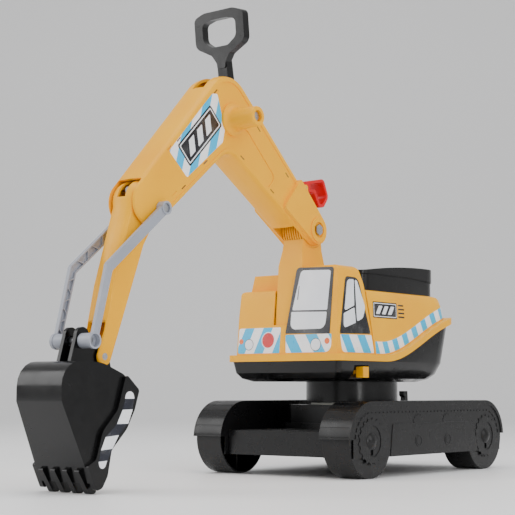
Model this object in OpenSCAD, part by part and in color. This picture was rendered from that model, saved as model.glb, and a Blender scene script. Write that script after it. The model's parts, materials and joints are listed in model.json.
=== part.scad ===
// Ride-on toy digger: a tracked base on four rollers, a swivelling house with seat and cab, and a
// hand-worked boom, stick and bucket. Forward is -Y, the cab is on the +X side, the floor is z = 0.

/* [Undercarriage] */
// Overall width over both tracks
base_w = 320; // [310:2:330]
// Width of one track
track_w = 60; // [58:1:62]
// Length of a track from end to end
track_len = 484; // [476:2:492]
// Radius of the rollers
wheel_r = 58.5; // [57:0.5:60]
// Width of a roller
wheel_w = 52; // [48:1:52]
// Wall of the track and deck mouldings
wall = 2.5; // [2:0.25:3]
// Gap between a roller and the hood over it
hood_gap = 1.5; // [1:0.25:2]
// Radius of the two steel axles
axle_r = 5; // [4.5:0.25:5.5]
// Running clearance of every pin and axle
run = 0.06; // [0.03:0.01:0.1]
// Top of the chassis deck
deck_top = 73; // [70:1:76]
// Underside of the chassis deck and of the track skirts
deck_bottom = 33; // [30:1:36]

/* [House] */
// Underside of the house
house_z = 153; // [152:1:155]
// Underside of the ledge along the front half of the house
sill_z = 186; // [184:1:188]
// Thickness of the ledge
sill_t = 11; // [10:1:13]
// Overhang of the ledge
sill_out = 6; // [5:0.5:7]
// Half the width of the house
house_hw = 112; // [110:1:113]
// Top of the house behind the cab
body_top = 304; // [302:1:306]
// Roof of the cab
cab_top = 341; // [338:1:343]
// Height of the seat at the back
seat_top = 353; // [350:1:355]
// Radius of the slew column
column_r = 80.5; // [79:0.5:81]

/* [Arm] */
// Half the width of the boom
boom_hw = 27; // [26:0.5:28]
// Wall of the arm mouldings
shell = 3; // [2.5:0.25:3]
// Half the width of the stick
stick_hw = 20; // [19.5:0.25:20.5]
// Half the width of the bucket
bucket_hw = 50; // [48:1:52]
// Radius of the steel arm pins
pin_r = 5; // [4.5:0.25:5.25]

/* [Hidden] */
$fn = 64;
eps = 0.01;

yellow = "#fdbe37";
black = "#2b2b2b";
dark = "#3a3a3a";
steel = "#b9bdc2";
grey = "#b4b8bf";
red = "#e6233c";

// The tracks' middle stands this far behind the middle of the whole digger
slew_y = 246.5;
// The slew axis stands this far ahead of the tracks' middle
slew_fore = 8;
// Lock tab: back face, front edge, foot, width along Y and travel
tab_x = 98;
tab_y = -135;
tab_z = house_z + 6;
tab_w = 16;
tab_travel = 20;

// Undercarriage
pod_out = base_w / 2;
pod_in = pod_out - track_w;
axle_z = wheel_r;
hood_r = wheel_r + hood_gap + wall;
axle_y = track_len / 2 - hood_r;
pod_top = axle_z + hood_r;
pod_mid = (pod_out + pod_in) / 2;
part_z = 62;
// Height of the rest on the deck
rest_h = 0.8;
block_top = 114;
ring_top = 118;
bolt_r = 6;

// Arm pivots [y, z] in the resting pose
boom_pivot = [-148, 405];
grip_axis = [-364, 558.5];
stick_pivot = [-549.5, 409];
link_pivot = [-528, 402];
bucket_pivot = [-631, 185];
cross_pivot = [-669, 206];
// Arm of the handle and of the stick tail that the rod joins
crank = 22;
lever_pivot = [-168, 474.5];
lug_in = 20;
// Play of the cross pin in the bucket ears
ear_play = 2.6;
// Half the width of the post at its foot
post_hw = 27;

// ---------------------------------------------------------------- helpers

// Moves a part drawn about the slew axis into the frame of the whole digger
module place() translate([0, slew_y, 0]) children();

// Extrudes a [y, z] outline along X
module across(x0, x1) translate([x0, 0, 0]) rotate([90, 0, 90]) linear_extrude(x1 - x0) children();

// Cylinder along X between two stations about the point p = [y, z]
module rod_x(p, r, x0, x1) translate([x0, p[0], p[1]]) rotate([0, 90, 0]) cylinder(r = r, h = x1 - x0);

// Six-sided prism along X
module hex_x(p, r, x0, x1) translate([x0, p[0], p[1]]) rotate([0, 90, 0]) cylinder(r = r, h = x1 - x0, $fn = 6);

// Moves to the slew axis
module at_slew() translate([0, -slew_fore, 0]) children();

module mirror_x() mirror([1, 0, 0]) children();

module both_sides() {
  children();
  mirror_x() children();
}

function unit(v) = v / norm(v);
function inward(v) = [-v[1], v[0]];
function polar(r, a) = r * [cos(a), sin(a)];

// Points of an arc about c
function arc(c, r, a0, a1, n = 8) = [for (i = [0:n]) c + polar(r, a0 + (a1 - a0) * i / n)];

// Angle turned from a0 to a1, the short way
function turn(a0, a1) = (a1 - a0 + 540) % 360 - 180;

// Corner b between a and c, rounded to radius r
function round_corner(a, b, c, r, n = 6) =
  let (u = unit(a - b), v = unit(c - b), half = acos(u * v) / 2)
  let (mid = b + unit(u + v) * r / sin(half), from = b + u * r / tan(half), to = b + v * r / tan(half))
  let (a0 = atan2(from[1] - mid[1], from[0] - mid[0]), a1 = atan2(to[1] - mid[1], to[0] - mid[0]))
  [for (i = [0:n]) mid + polar(r, a0 + turn(a0, a1) * i / n)];

// Closed outline through corners [y, z, radius]
function outline(k, n = 6) =
  let (m = len(k))
  [for (i = [0:m - 1])
    let (a = k[(i + m - 1) % m], b = k[i], c = k[(i + 1) % m])
    each (b[2] > 0 ? round_corner([a[0], a[1]], [b[0], b[1]], [c[0], c[1]], b[2], n) : [[b[0], b[1]]])];

// Anticlockwise outline drawn in by d
function inset(p, d) =
  let (m = len(p))
  [for (i = [0:m - 1])
    let (a = inward(unit(p[i] - p[(i + m - 1) % m])), b = inward(unit(p[(i + 1) % m] - p[i])))
    p[i] + d * (a + b) / (1 + a * b)];

// Solid whose section at each station [x, d] is the outline drawn in by d
module layered(p, stations) {
  n = len(p);
  m = len(stations);
  points = [for (s = stations) for (q = inset(p, s[1])) [s[0], q[0], q[1]]];
  sides = [for (k = [0:m - 2]) for (i = [0:n - 1])
    [k * n + i, (k + 1) * n + i, (k + 1) * n + (i + 1) % n, k * n + (i + 1) % n]];
  first = [for (i = [0:n - 1]) i];
  last = [for (i = [n - 1:-1:0]) (m - 1) * n + i];
  polyhedron(points, concat([first, last], sides));
}

// Solid through level outlines [z, points] that all have the same number of points
module stacked(levels) {
  n = len(levels[0][1]);
  m = len(levels);
  points = [for (s = levels) for (q = s[1]) [q[0], q[1], s[0]]];
  sides = [for (k = [0:m - 2]) for (i = [0:n - 1])
    [k * n + i, (k + 1) * n + i, (k + 1) * n + (i + 1) % n, k * n + (i + 1) % n]];
  bottom = [for (i = [0:n - 1]) i];
  top = [for (i = [n - 1:-1:0]) (m - 1) * n + i];
  polyhedron(points, concat([bottom, top], sides));
}

// Short flat-ended slot through a wall facing X
module snap_slot(p, angle, x0, x1, length = 11)
  translate([x0, p[0], p[1]]) rotate([angle, 0, 0]) translate([0, -length / 2, -1]) cube([x1 - x0, length, 2]);

// ---------------------------------------------------------------- undercarriage

module chassis_deck() color(dark) place() {
  half = pod_in;
  length = 222;
  difference() {
    translate([-half, -length, deck_bottom]) cube([2 * half, 2 * length, deck_top - deck_bottom]);
    translate([-half + wall, -length + wall, deck_bottom - 1])
      cube([2 * half - 2 * wall, 2 * length - 2 * wall, deck_top - deck_bottom + 1 - wall]);
    for (s = [-1, 1]) rod_x([s * axle_y, axle_z], axle_r + run, -half - 1, half + 1);
    at_slew() translate([0, 0, deck_bottom]) cylinder(r = bolt_r + run, h = deck_top);
  }
  // Raised rest in front of the turret block
  translate([-84, -212, deck_top - 1]) cube([168, 96, 1 + rest_h]);
  // Ribs under the tray
  difference() {
    union() {
      for (y = [-110, -55, 55, 110]) translate([-half + wall, y - 1, deck_bottom + 4])
        cube([2 * half - 2 * wall, 2, deck_top - deck_bottom - 4 - wall]);
      for (x = [-50, 50]) translate([x - 1, -length + wall, deck_bottom + 4])
        cube([2, 2 * length - 2 * wall, deck_top - deck_bottom - 4 - wall]);
      at_slew() translate([0, 0, deck_bottom + 4]) cylinder(r = 22, h = deck_top - deck_bottom - 4 - wall);
    }
    for (s = [-1, 1]) rod_x([s * axle_y, axle_z], axle_r + run, -half, half);
    at_slew() translate([0, 0, deck_bottom]) cylinder(r = bolt_r + run, h = deck_top);
    // Recess for the head of the slew bolt
    at_slew() translate([0, 0, deck_bottom]) cylinder(r = 14, h = 14);
  }
}

// Block between deck and column: a plinth, then a box with cut corners
module turret_block() color(dark) place() at_slew() {
  plinth = 10;
  difference() {
    union() {
      translate([0, 0, deck_top]) linear_extrude(plinth) cut_square(84, 102, 18);
      translate([0, 0, deck_top + plinth]) linear_extrude(block_top - deck_top - plinth) cut_square(80, 97, 22);
    }
    translate([0, 0, deck_top - 1]) linear_extrude(block_top - deck_top + 1 - 4) cut_square(77, 94, 21);
    translate([0, 0, deck_top]) cylinder(r = bolt_r + run, h = 60);
  }
  // Hub round the slew bolt, stiffened by eight ribs
  difference() {
    translate([0, 0, deck_top]) cylinder(r = 16, h = block_top - deck_top - 4);
    translate([0, 0, deck_top - 1]) cylinder(r = bolt_r + run, h = 60);
  }
  for (a = [0:45:315]) rotate([0, 0, a + 22.5]) translate([16 - eps, -1, deck_top])
    cube([50, 2, block_top - deck_top - 4 + eps]);
}

module cut_square(hx, hy, cut)
  polygon([[-hx, -hy + cut], [-hx + cut, -hy], [hx - cut, -hy], [hx, -hy + cut],
           [hx, hy - cut], [hx - cut, hy], [-hx + cut, hy], [-hx, hy - cut]]);

module slide_ring() color("#d8d8d0") place() at_slew() translate([0, 0, block_top]) difference() {
  cylinder(r = 70, h = ring_top - block_top);
  translate([0, 0, -1]) cylinder(r = 56, h = 10);
}

module slew_bolt() color(steel) place() at_slew() {
  translate([0, 0, deck_bottom + 8]) cylinder(r = 11, h = 6, $fn = 6);
  translate([0, 0, deck_bottom + 14]) cylinder(r = bolt_r, h = 134);
}

module slew_nut() color(steel) place() at_slew() difference() {
  union() {
    translate([0, 0, house_z + 10.3]) cylinder(r = 18, h = 2);
    translate([0, 0, house_z + 12.3]) cylinder(r = 10.5, h = 9, $fn = 6);
  }
  translate([0, 0, house_z]) cylinder(r = bolt_r + run, h = 40);
}

// Outline of the tread hood in [y, z], over both rollers, closed along a line a drop below the parting line
function hood_outline(r, drop = 0) =
  let (low = asin((part_z - axle_z) / r), end = axle_y + r * cos(low))
  concat([[-end, part_z - drop], [end, part_z - drop]],
         arc([axle_y, axle_z], r, low, 90, 12), arc([-axle_y, axle_z], r, 90, 180 - low, 12));

// Shallow cross grooves between the shoes of the tread
module tread_grooves(r) {
  depth = 0.7;
  for (s = [-1, 1]) for (a = [6:14:90])
    translate([0, s * axle_y, axle_z]) rotate([s * (a - 90), 0, 0])
      translate([pod_in - 1, -1.1, r - depth]) cube([track_w + 2, 2.2, 5]);
  pitch = 2 * axle_y / 18;
  for (k = [1:17]) translate([pod_in - 1, -axle_y + k * pitch - 1.1, axle_z + r - depth])
    cube([track_w + 2, 2.2, 5]);
}

// Hood over the rollers with the inner side wall; open underneath
module track_shell() {
  difference() {
    across(pod_in, pod_out - wall) polygon(hood_outline(hood_r));
    across(pod_in + wall, pod_out) polygon(hood_outline(hood_r - wall, 5));
    for (s = [-1, 1]) rod_x([s * axle_y, axle_z], axle_r + run, pod_in - 1, pod_out);
    tread_grooves(hood_r);
  }
  difference() {
    translate([pod_in, -track_len / 2 + 12, deck_bottom])
      cube([wall, track_len - 24, part_z - deck_bottom + eps]);
    for (s = [-1, 1]) rod_x([s * axle_y, axle_z], axle_r + run, pod_in - 1, pod_out);
  }
}

module track_shell_left() color(dark) place() track_shell();

module track_shell_right() color(dark) place() mirror_x() track_shell();

// Toothed wheel outline
function gear_outline(r, tooth, teeth) =
  [for (i = [0:teeth - 1]) for (k = [[0, 0], [0.12, 1], [0.42, 1], [0.54, 0]])
    polar(r + tooth * k[1], (i + k[0]) * 360 / teeth)];

// Outer side plate with moulded sprockets, chain line and centre panel
module track_cover() {
  plate = pod_out - 1.6;
  relief = pod_out - 0.6;
  skirt = track_len / 2 - 12;
  panel = outline([[-127, deck_bottom, 0], [150, deck_bottom, 0], [137, 85, 4], [-120, 85, 4]], 3);
  difference() {
    union() {
      across(pod_out - wall, plate) union() {
        polygon(hood_outline(hood_r));
        translate([-skirt, deck_bottom]) square([2 * skirt, part_z - deck_bottom + 1]);
      }
      // Rim along the hood
      across(plate - eps, pod_out) difference() {
        polygon(hood_outline(hood_r));
        polygon(hood_outline(hood_r - 7, 20));
      }
      for (s = [-1, 1]) translate([0, s * axle_y, axle_z]) across(plate - eps, relief)
        polygon(gear_outline(34, 3.5, 18));
      for (y = [-43.5, 48.5]) {
        translate([0, y, 85]) across(plate - eps, relief - 0.4) intersection() {
          polygon(gear_outline(13, 2.5, 14));
          translate([-20, -5]) square([40, 30]);
        }
        difference() {
          rod_x([y, 56], 10, relief - eps, pod_out);
          rod_x([y, 56], 8.5, relief, pod_out + 1);
        }
        hex_x([y, 56], 7, relief - eps, pod_out);
      }
      across(plate - eps, relief) polygon(panel);
      chain_line(plate, relief);
    }
    for (s = [-1, 1]) {
      rod_x([s * axle_y, axle_z], axle_r + run, pod_in, pod_out + 5);
      // Sunk ring round the axle cap
      rod_x([s * axle_y, axle_z], 25, plate - 0.1, pod_out + 5);
      translate([pod_in, s * axle_y - 3.5, axle_z - 22]) cube([80, 7, 10]);
    }
  }
}

// Dashes of the moulded chain, along the top and round both ends
module chain_line(x0, x1) {
  r = 45;
  pitch = 11;
  count = floor(axle_y / pitch);
  for (k = [-count:count]) translate([x0 - eps, k * pitch - 3.5, axle_z + r - 1]) cube([x1 - x0, 7, 2]);
  for (s = [-1, 1]) for (a = [10:14:80]) translate([0, s * axle_y, axle_z]) rotate([-s * a, 0, 0])
    translate([x0 - eps, -3.5, r - 1]) cube([x1 - x0, 7, 2]);
}

module track_cover_left() color(dark) place() track_cover();

module track_cover_right() color(dark) place() mirror_x() track_cover();

module axle(y) place() rod_x([y, axle_z], axle_r, -pod_out + 1, pod_out - 1);

module front_axle() color(steel) axle(-axle_y);

module rear_axle() color(steel) axle(axle_y);

// Domed caps pressed on the axle ends
module axle_caps() color(dark) place() both_sides() for (s = [-1, 1])
  translate([pod_out - 1.6, s * axle_y, axle_z]) rotate([0, 90, 0]) difference() {
    rotate_extrude() intersection() {
      translate([0, -12]) circle(r = 18);
      square([14, 10]);
    }
    translate([0, 0, -1]) cylinder(r = axle_r, h = 1.6);
  }

// Hooked peg behind the block, for towing a trailer
module tow_peg() color(dark) place() across(-5, 5)
  polygon(outline([[150, deck_top, 0], [170, deck_top, 0], [166, 137, 1.5], [153, 137, 1.5],
                   [153, 129, 1], [158, 126, 1], [156, 110, 2]], 3));

// Tub-shaped roller: tread, web with spokes and hub
module roller() {
  rim = 3;
  hub = 11;
  difference() {
    union() {
      difference() {
        rod_x([0, 0], wheel_r, -wheel_w / 2, wheel_w / 2);
        rod_x([0, 0], wheel_r - rim, -wheel_w / 2 + 4, wheel_w / 2 + 1);
      }
      rod_x([0, 0], hub, -wheel_w / 2 + 1, wheel_w / 2);
      for (a = [0:60:300]) rotate([a, 0, 0]) translate([-wheel_w / 2 + 3, -1.2, hub - 1])
        cube([wheel_w * 0.7, 2.4, wheel_r - rim - hub + 2]);
    }
    rod_x([0, 0], axle_r + run, -wheel_w, wheel_w);
  }
}

// Roller of the left (side = 1) or right (side = -1) track, with its open end towards the deck
module roller_at(side, y) color(dark) place()
  translate([side * pod_mid, y, axle_z]) mirror([max(side, 0), 0, 0]) roller();

module roller_front_left() roller_at(1, -axle_y);

module roller_front_right() roller_at(-1, -axle_y);

module roller_rear_left() roller_at(1, axle_y);

module roller_rear_right() roller_at(-1, axle_y);

// ---------------------------------------------------------------- house

// Height of the underside of the ledge at y: level in front, then an S-curve up to the back
function sill_at(y) =
  let (t = min(max((y + 72) / 240, 0), 1))
  sill_z + 72 * t * t * (3 - 2 * t);

// Plan outline of the house: nearly square in front, broad round corners behind
function house_plan(hw, front, rear, corner = 60) =
  outline([[-hw, -front, 8], [hw, -front, 8], [hw, rear, corner], [-hw, rear, corner]], 8);

// Everything below the ledge, moved down by drop
module below_sill(drop = 0) across(-200, 200)
  polygon(concat([[-260, 100], [260, 100]],
                 [for (y = [260:-10:-260]) [y, sill_at(y) - drop]]));

// Shape of the black tub, d inside its faces
module tub(d) stacked([
  [house_z + d, house_plan(house_hw - 24, 176, 108)],
  [house_z + 5 + d, house_plan(house_hw - 11 - d, 190 - d, 125 - d)],
  [house_z + 14 + d, house_plan(house_hw - 4 - d, 197 - d, 137 - d)],
  [sill_z, house_plan(house_hw - d, 200 - d, 150 - d)],
  [280, house_plan(house_hw - d, 200 - d, 181 - d)]]);

// Places of the screws under the house
screw_spots = [for (x = [-70, 70]) for (y = [-140, 80]) [x, y]];

module lower_shell() color(black) place() difference() {
  union() {
    intersection() {
      union() {
        difference() {
          tub(0);
          tub(3);
        }
        // Pocket of the lock tab
        translate([tab_x - 3, tab_y - 24, house_z + 1]) cube([30, tab_w + 29, 27]);
      }
      tub(0);
      below_sill(0);
    }
    at_slew() translate([0, 0, house_z]) cylinder(r = 30, h = 10);
  }
  at_slew() translate([0, 0, house_z - 1]) cylinder(r = bolt_r + run, h = 30);
  translate([tab_x, tab_y - 22, house_z + 4]) cube([40, tab_w + 25, 22]);
  // Slot that guides the stem of the lock tab
  translate([tab_x - 5, tab_y + 2 - tab_travel - 1, tab_z + 6]) cube([10, tab_w - 4 + tab_travel + 2, 6]);
  for (p = screw_spots) translate([p[0], p[1], house_z - 1]) cylinder(r = 4.6, h = 3);
}

module ledge() difference() {
  intersection() {
    translate([0, 0, 150]) linear_extrude(150)
      polygon(house_plan(house_hw + sill_out, 203, 180));
    difference() {
      below_sill(-sill_t);
      below_sill(0);
    }
  }
  translate([0, 0, 149]) linear_extrude(160) polygon(house_plan(house_hw - 6, 192, 173));
}

// Shape of the yellow body, d inside its faces
module body_form(d) stacked([
  [sill_z, house_plan(107 - d, 198 - d, 174 - d)],
  [262, house_plan(106 - d, 192 - d, 172 - d)],
  [288 - d, house_plan(105 - d, 189 - d, 164 - d)],
  [body_top - 5 - d, house_plan(104 - d, 188.5 - d, 158 - d)],
  [body_top - 1.5 - d, house_plan(102 - d, 187.5 - d, 154 - d)],
  [body_top - d, house_plan(98 - d, 186 - d, 149 - d)]]);

module upper_shell() color(yellow) place() {
  ledge();
  difference() {
    intersection() {
      body_form(0);
      across(-200, 200) polygon(concat([for (y = [-260:10:260]) [y, sill_at(y) + 3]], [[260, 400], [-260, 400]]));
    }
    body_form(3);
    cab_space(0.3);
  }
  // Floor under the cab and the post
  intersection() {
    translate([0, 0, sill_z + sill_t - 3]) linear_extrude(3) polygon(house_plan(107, 198, 174));
    across(-120, 120) polygon([[-220, 150], [-80, 150], [-80, 250], [-220, 250]]);
  }
  // Raised box beside the post
  translate([0, 0, body_top]) difference() {
    step_box(0);
    translate([0, 0, -3]) step_box(3);
  }
}

// Low box with raked sides on top of the house, d inside its faces
module step_box(d) rotate([90, 0, 0]) translate([0, 0, 99 + d]) linear_extrude(66 - 2 * d)
  polygon([[-97 + d, -1], [-28 - d, -1], [-28 - d, 28], [-89 + d, 28]]);

// Room taken by the cab and the post; a low apron of the front wall stays in front of the post
module cab_space(gap) {
  foot = sill_z + sill_t;
  apron_top = 246;
  difference() {
    translate([-post_hw - gap, -220, foot]) cube([150, 220 - 112 + gap, 200]);
    translate([-post_hw - 2, -221, foot - 1]) cube([post_hw + 2.7, 221 - 189.8, apron_top - foot + 1]);
  }
  across(post_hw, 130) polygon([[-220, foot], [-90 + gap, foot], [-118 + gap, 320], [-220, 320]]);
}

// Side outline of the cab: raked back edge and round roof
function cab_side(d) = outline([[-199 + d, sill_z + sill_t, 0], [-90 - d, sill_z + sill_t, 0],
  [-119 - d, 312, 30], [-136 - d, cab_top - d, 16], [-191 + d, cab_top - d, 6]], 6);

module cab_shell() color(yellow) place() {
  // Cabin
  difference() {
    intersection() {
      across(28, 120) polygon(cab_side(0));
      cab_front(600, 28);
    }
    translate([0, 0, -3]) intersection() {
      across(31, 99.5) polygon(cab_side(3));
      cab_front(600, 31);
    }
  }
  // Front panel reaching across the post
  difference() {
    intersection() {
      across(1, 120) polygon(cab_side(0));
      cab_front(600, 1);
    }
    across(-1, 130) polygon([[-199 + 3, sill_z], [-199 + 3, sill_z + sill_t], [-191 + 3, cab_top],
                             [-60, cab_top + 10], [-60, sill_z]]);
  }
}

// Front outline of the cab, from the inner edge x0 outwards, pushed through along Y
module cab_front(depth, x0) translate([0, depth / 2, 0]) rotate([90, 0, 0]) linear_extrude(depth)
  intersection() {
    polygon(outline([[0, sill_z + sill_t, 0], [106, sill_z + sill_t, 0], [103, cab_top, 10],
                     [30, cab_top, 6], [3, 229, 8]], 5));
    translate([x0, 0]) square([200, 400]);
  }

// Saddle seat: a plain base under a rim that thickens towards the back
module seat() color(black) place() difference() {
  union() {
    intersection() {
      across(-120, 120) polygon([[-120, body_top], [147, body_top], [142, 340], [-120, 340]]);
      seat_plan(4, 144);
    }
    intersection() {
      across(-120, 120) polygon(concat([[-120, 334], [40, 334], [100, 331], [160, 326]],
                                       [for (y = [160:-20:-120]) [y, rim_at(y)]]));
      seat_plan(0, 141);
    }
  }
  // Dished sitting face
  translate([-74, 10, seat_top + 244]) rotate([0, 90, 0]) cylinder(r = 262, h = 148);
  translate([-80, -86, body_top - 1]) cube([160, 205, 18]);
}

// Height of the seat rim at y
function rim_at(y) = seat_top - 15 * pow((100 - y) / 200, 2);

module seat_plan(d, rear) translate([0, 0, body_top]) linear_extrude(90)
  polygon(outline([[-90 + d, -98 + d, 18], [90 - d, -98 + d, 18], [90 - d, rear, 36], [-90 + d, rear, 36]], 8));

// Tapered post with a saddle for the drum
module boom_post() color(yellow) place() difference() {
  intersection() {
    across(-post_hw, post_hw) polygon([[-193, sill_z + sill_t], [-112, sill_z + sill_t], [-119, 345], [-124, 386],
                             [-130, 404], [-172, 404], [-173, 386], [-182, 345]]);
    rotate([90, 0, 0]) linear_extrude(500, center = true)
      polygon([[-post_hw, 190], [post_hw, 190], [25, 345], [21, 371], [21, 440], [-21, 440], [-21, 371], [-25, 345]]);
  }
  rod_x(boom_pivot, 29.5, -30, 30);
  // Hollow from below
  across(-18, 18) polygon([[-188, 190], [-117, 190], [-124, 345], [-130, 366], [-168, 366], [-177, 345]]);
}

// Ribbed drum on the post that the boom turns about
module ratchet_drum() color(yellow) place() difference() {
  union() {
    rod_x(boom_pivot, 24, -20.5, 20.5);
    for (k = [-4:4]) rod_x(boom_pivot, 29.2, k * 4.8 - 1.2, k * 4.8 + 1.2);
  }
  rod_x(boom_pivot, pin_r + run, -30, 30);
}

// Round column under the house with a partial outer collar
module slew_column() color(black) place() at_slew() difference() {
  union() {
    translate([0, 0, ring_top + 0.3]) cylinder(r = column_r - 2, h = house_z - ring_top - 0.3, $fn = 96);
    translate([0, 0, ring_top + 0.3]) rotate([0, 0, -73]) rotate_extrude(angle = 250, $fn = 96)
      translate([column_r - 3, 0]) square([3, house_z - ring_top - 0.3]);
  }
  translate([0, 0, ring_top - 1]) cylinder(r = column_r - 6, h = house_z - ring_top - 3);
  translate([0, 0, ring_top - 1]) cylinder(r = bolt_r + run, h = 60);
}

// Sunk screws that hold the two house shells together
module shell_screws() color(steel) place() for (p = screw_spots)
  translate([p[0], p[1], house_z + 0.5]) cylinder(r = 4, h = 1.5);

// Tab that slides forward to free the house; its stem runs in a slot and ends in a wider head
module lock_tab() color(yellow) place() {
  translate([tab_x + 0.3, tab_y, tab_z]) cube([14.5, tab_w, 18]);
  translate([tab_x - 3.5, tab_y + 3, tab_z + 6.1]) cube([4, tab_w - 6, 5.8]);
  translate([tab_x - 6, tab_y + 1, tab_z + 3]) cube([2.7, tab_w - 2, 12]);
}

// ---------------------------------------------------------------- boom

// Radius of the boom's nose
nose_r = 36;

// Side view of the boom: nose, inner bend, foot round the post and knee, anticlockwise
boom_outline = concat(
  arc(stick_pivot, nose_r, 136, 309, 16),
  round_corner([-526.7, 381], [-370.4, 510], [-252, 438], 32, 6),
  arc(boom_pivot, 28, 238, 408, 12),
  round_corner([-140, 436], [-374, 649.5], [-575.5, 434.5], 54, 10));

// Stations [x, inset] of one half, rounded towards the side wall
boom_skin = [[-2, 0], [14, 0.5], [21, 1.3], [boom_hw - 2, 2.6], [boom_hw - 0.6, 4], [boom_hw, 6]];

module boom_half() difference() {
  union() {
    difference() {
      layered(boom_outline, boom_skin);
      across(-3, boom_hw - shell) polygon(inset(boom_outline, shell + 2.2));
      // Field of the side wall, sunk inside a raised rim
      across(boom_hw - 1.2, boom_hw + 1) polygon(side_field);
      // Channel in the rear half, running down from the foot of the grip
      across(boom_hw - 2.4, boom_hw + 1) polygon(side_channel);
    }
    flare();
    grip_tube();
    // Pivot ring
    rod_x(boom_pivot, 21, boom_hw - 2, boom_hw + 8);
    // Lug that holds the pin of the release lever
    across(lug_in, lug_in + 3) polygon(concat(arc(lever_pivot, 5.5, -20, 110, 8),
                                              [lever_pivot + [-24, -2], lever_pivot + [-14, -24], lever_pivot + [10, -26]]));
  }
  // Parting face between the two halves
  translate([-10, -700, 300]) cube([10, 700, 500]);
  // Mouth of the nose, where the stick head turns
  across(-1, boom_hw - 3.5) polygon(concat(arc(stick_pivot, nose_r + 10, 125, 330, 10), [stick_pivot + [10, 26]]));
  // Open underside and back round the post
  across(-1, 22) polygon([[-208, 350], [-204, 404], [-184, 428], [-150, 438], [-100, 438], [-90, 340]]);
  rod_x(boom_pivot, 30.2, -1, 22);
  rod_x(boom_pivot, pin_r + run, -1, 60);
  rod_x(boom_pivot, 13, boom_hw + 4, 60);
  // Slot for the handle lever
  translate([-1, -416, 586]) cube([12.5, 102, 60]);
  rod_x(grip_axis, pin_r + run, -1, 30);
  rod_x(link_pivot, pin_r - 1.5, -1, 60);
  rod_x(lever_pivot, 2, 0, 40);
  rod_x(stick_pivot, pin_r + run, -1, boom_hw - 1);
  boom_slots();
}

// Widening at the boom foot that straddles the post
module flare() across(boom_hw - shell - 1, boom_hw + 6) polygon(concat(
  round_corner([-209, 483], [-238, 434], [-200, 414], 6, 4),
  arc(boom_pivot, 24, 228, 405, 10),
  round_corner([-133, 424], [-193, 484], [-209, 483], 6, 3)));

// Sunk field of the side wall, from the nose over the knee to the foot, drawn anticlockwise
side_field = outline([[-513, 404, 5], [-371, 521, 40], [-226, 439, 5], [-190, 468, 5], [-374.5, 634, 42],
                      [-538, 460, 14]], 8);
side_channel = outline([[-353, 530, 11], [-276, 458, 11], [-255, 481, 11], [-332, 553, 11]], 6);

// Round hand grip with a broad foot
module grip_tube() {
  translate([boom_hw - 2, grip_axis[0], grip_axis[1]]) rotate([0, 90, 0]) difference() {
    rotate_extrude() polygon(concat([[0, 0], [26, 0], [26, 4.5]], arc([26, 13], 8.5, 270, 180, 5),
      [[15.5, 51], [14.5, 53], [0, 53]]));
    translate([0, 0, 45]) cylinder(r = 9, h = 20);
    translate([0, 0, -5]) cylinder(r = pin_r + run, h = 70);
  }
}

module boom_slots() {
  spots = [[-401, 596, 44], [-510, 494, 46], [-497, 428, 40], [-430, 482, 40], [-300, 575, -42],
           [-240, 524, -42], [-322, 478, -31], [-270, 446, -31]];
  for (s = spots) snap_slot([s[0], s[1]], s[2], boom_hw - 2, boom_hw + 2);
}

module boom_left() color(yellow) place() boom_half();

module boom_right() color(yellow) place() mirror_x() boom_half();

module boom_bolt() color(steel) place() {
  rod_x(boom_pivot, pin_r, -35, 35);
  hex_x(boom_pivot, 9.5, boom_hw + 4, boom_hw + 9);
}

module boom_nut() color(steel) place() difference() {
  hex_x(boom_pivot, 9.5, -boom_hw - 12, -boom_hw - 4);
  rod_x(boom_pivot, pin_r, -60, -20);
}

// Screws in the ends of the grips that hold the handle pin
module grip_screws() color(steel) place() both_sides() rod_x(grip_axis, 7, 70, 73.5);

// Curled thumb lever on the back of the boom foot
module release_lever() color(red) place() difference() {
  union() {
    across(-19, 19) polygon(outline([[-174, 470, 3], [-168, 468, 5], [-140, 470, 10], [-126, 446, 5], [-112, 448, 8],
                                     [-98, 466, 12], [-112, 497, 8], [-174, 484, 5]], 4));
    rod_x(lever_pivot, 5, -19, 19);
  }
  across(-20, 20) polygon(outline([[-150, 474, 3], [-136, 476, 6], [-122, 452, 4], [-114, 453, 6], [-103, 467, 9],
                                   [-116, 491, 5], [-150, 483, 3]], 4));
  rod_x(lever_pivot, 2 + run, -20, 20);
}

module release_pin() color(steel) place() rod_x(lever_pivot, 2, -lug_in - 3, lug_in + 3);

// ---------------------------------------------------------------- handle and rod

// The handle, the rod and the stick tail make a parallelogram with the boom
crank_dir = inward(unit(grip_axis - stick_pivot));
crank_pin = grip_axis + crank * crank_dir;
tail_eye = stick_pivot + crank * crank_dir;

// Half widths of the grip frame: arched top, straight sides, tapering into the stem
grip_frame = [[8, 646, 3], [9, 655, 8], [18, 668, 10], [50, 684, 14], [50, 731, 9], [30, 738, 30]];
grip_hole = [[16, 681, 12], [34, 693, 12], [34, 720, 8], [16, 725, 20]];

// Outline from a list of right-hand corners and their mirror images
function doubled(k) = let (m = len(k)) concat(k, [for (i = [m - 1:-1:0]) [-k[i][0], k[i][1], k[i][2]]]);

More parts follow.
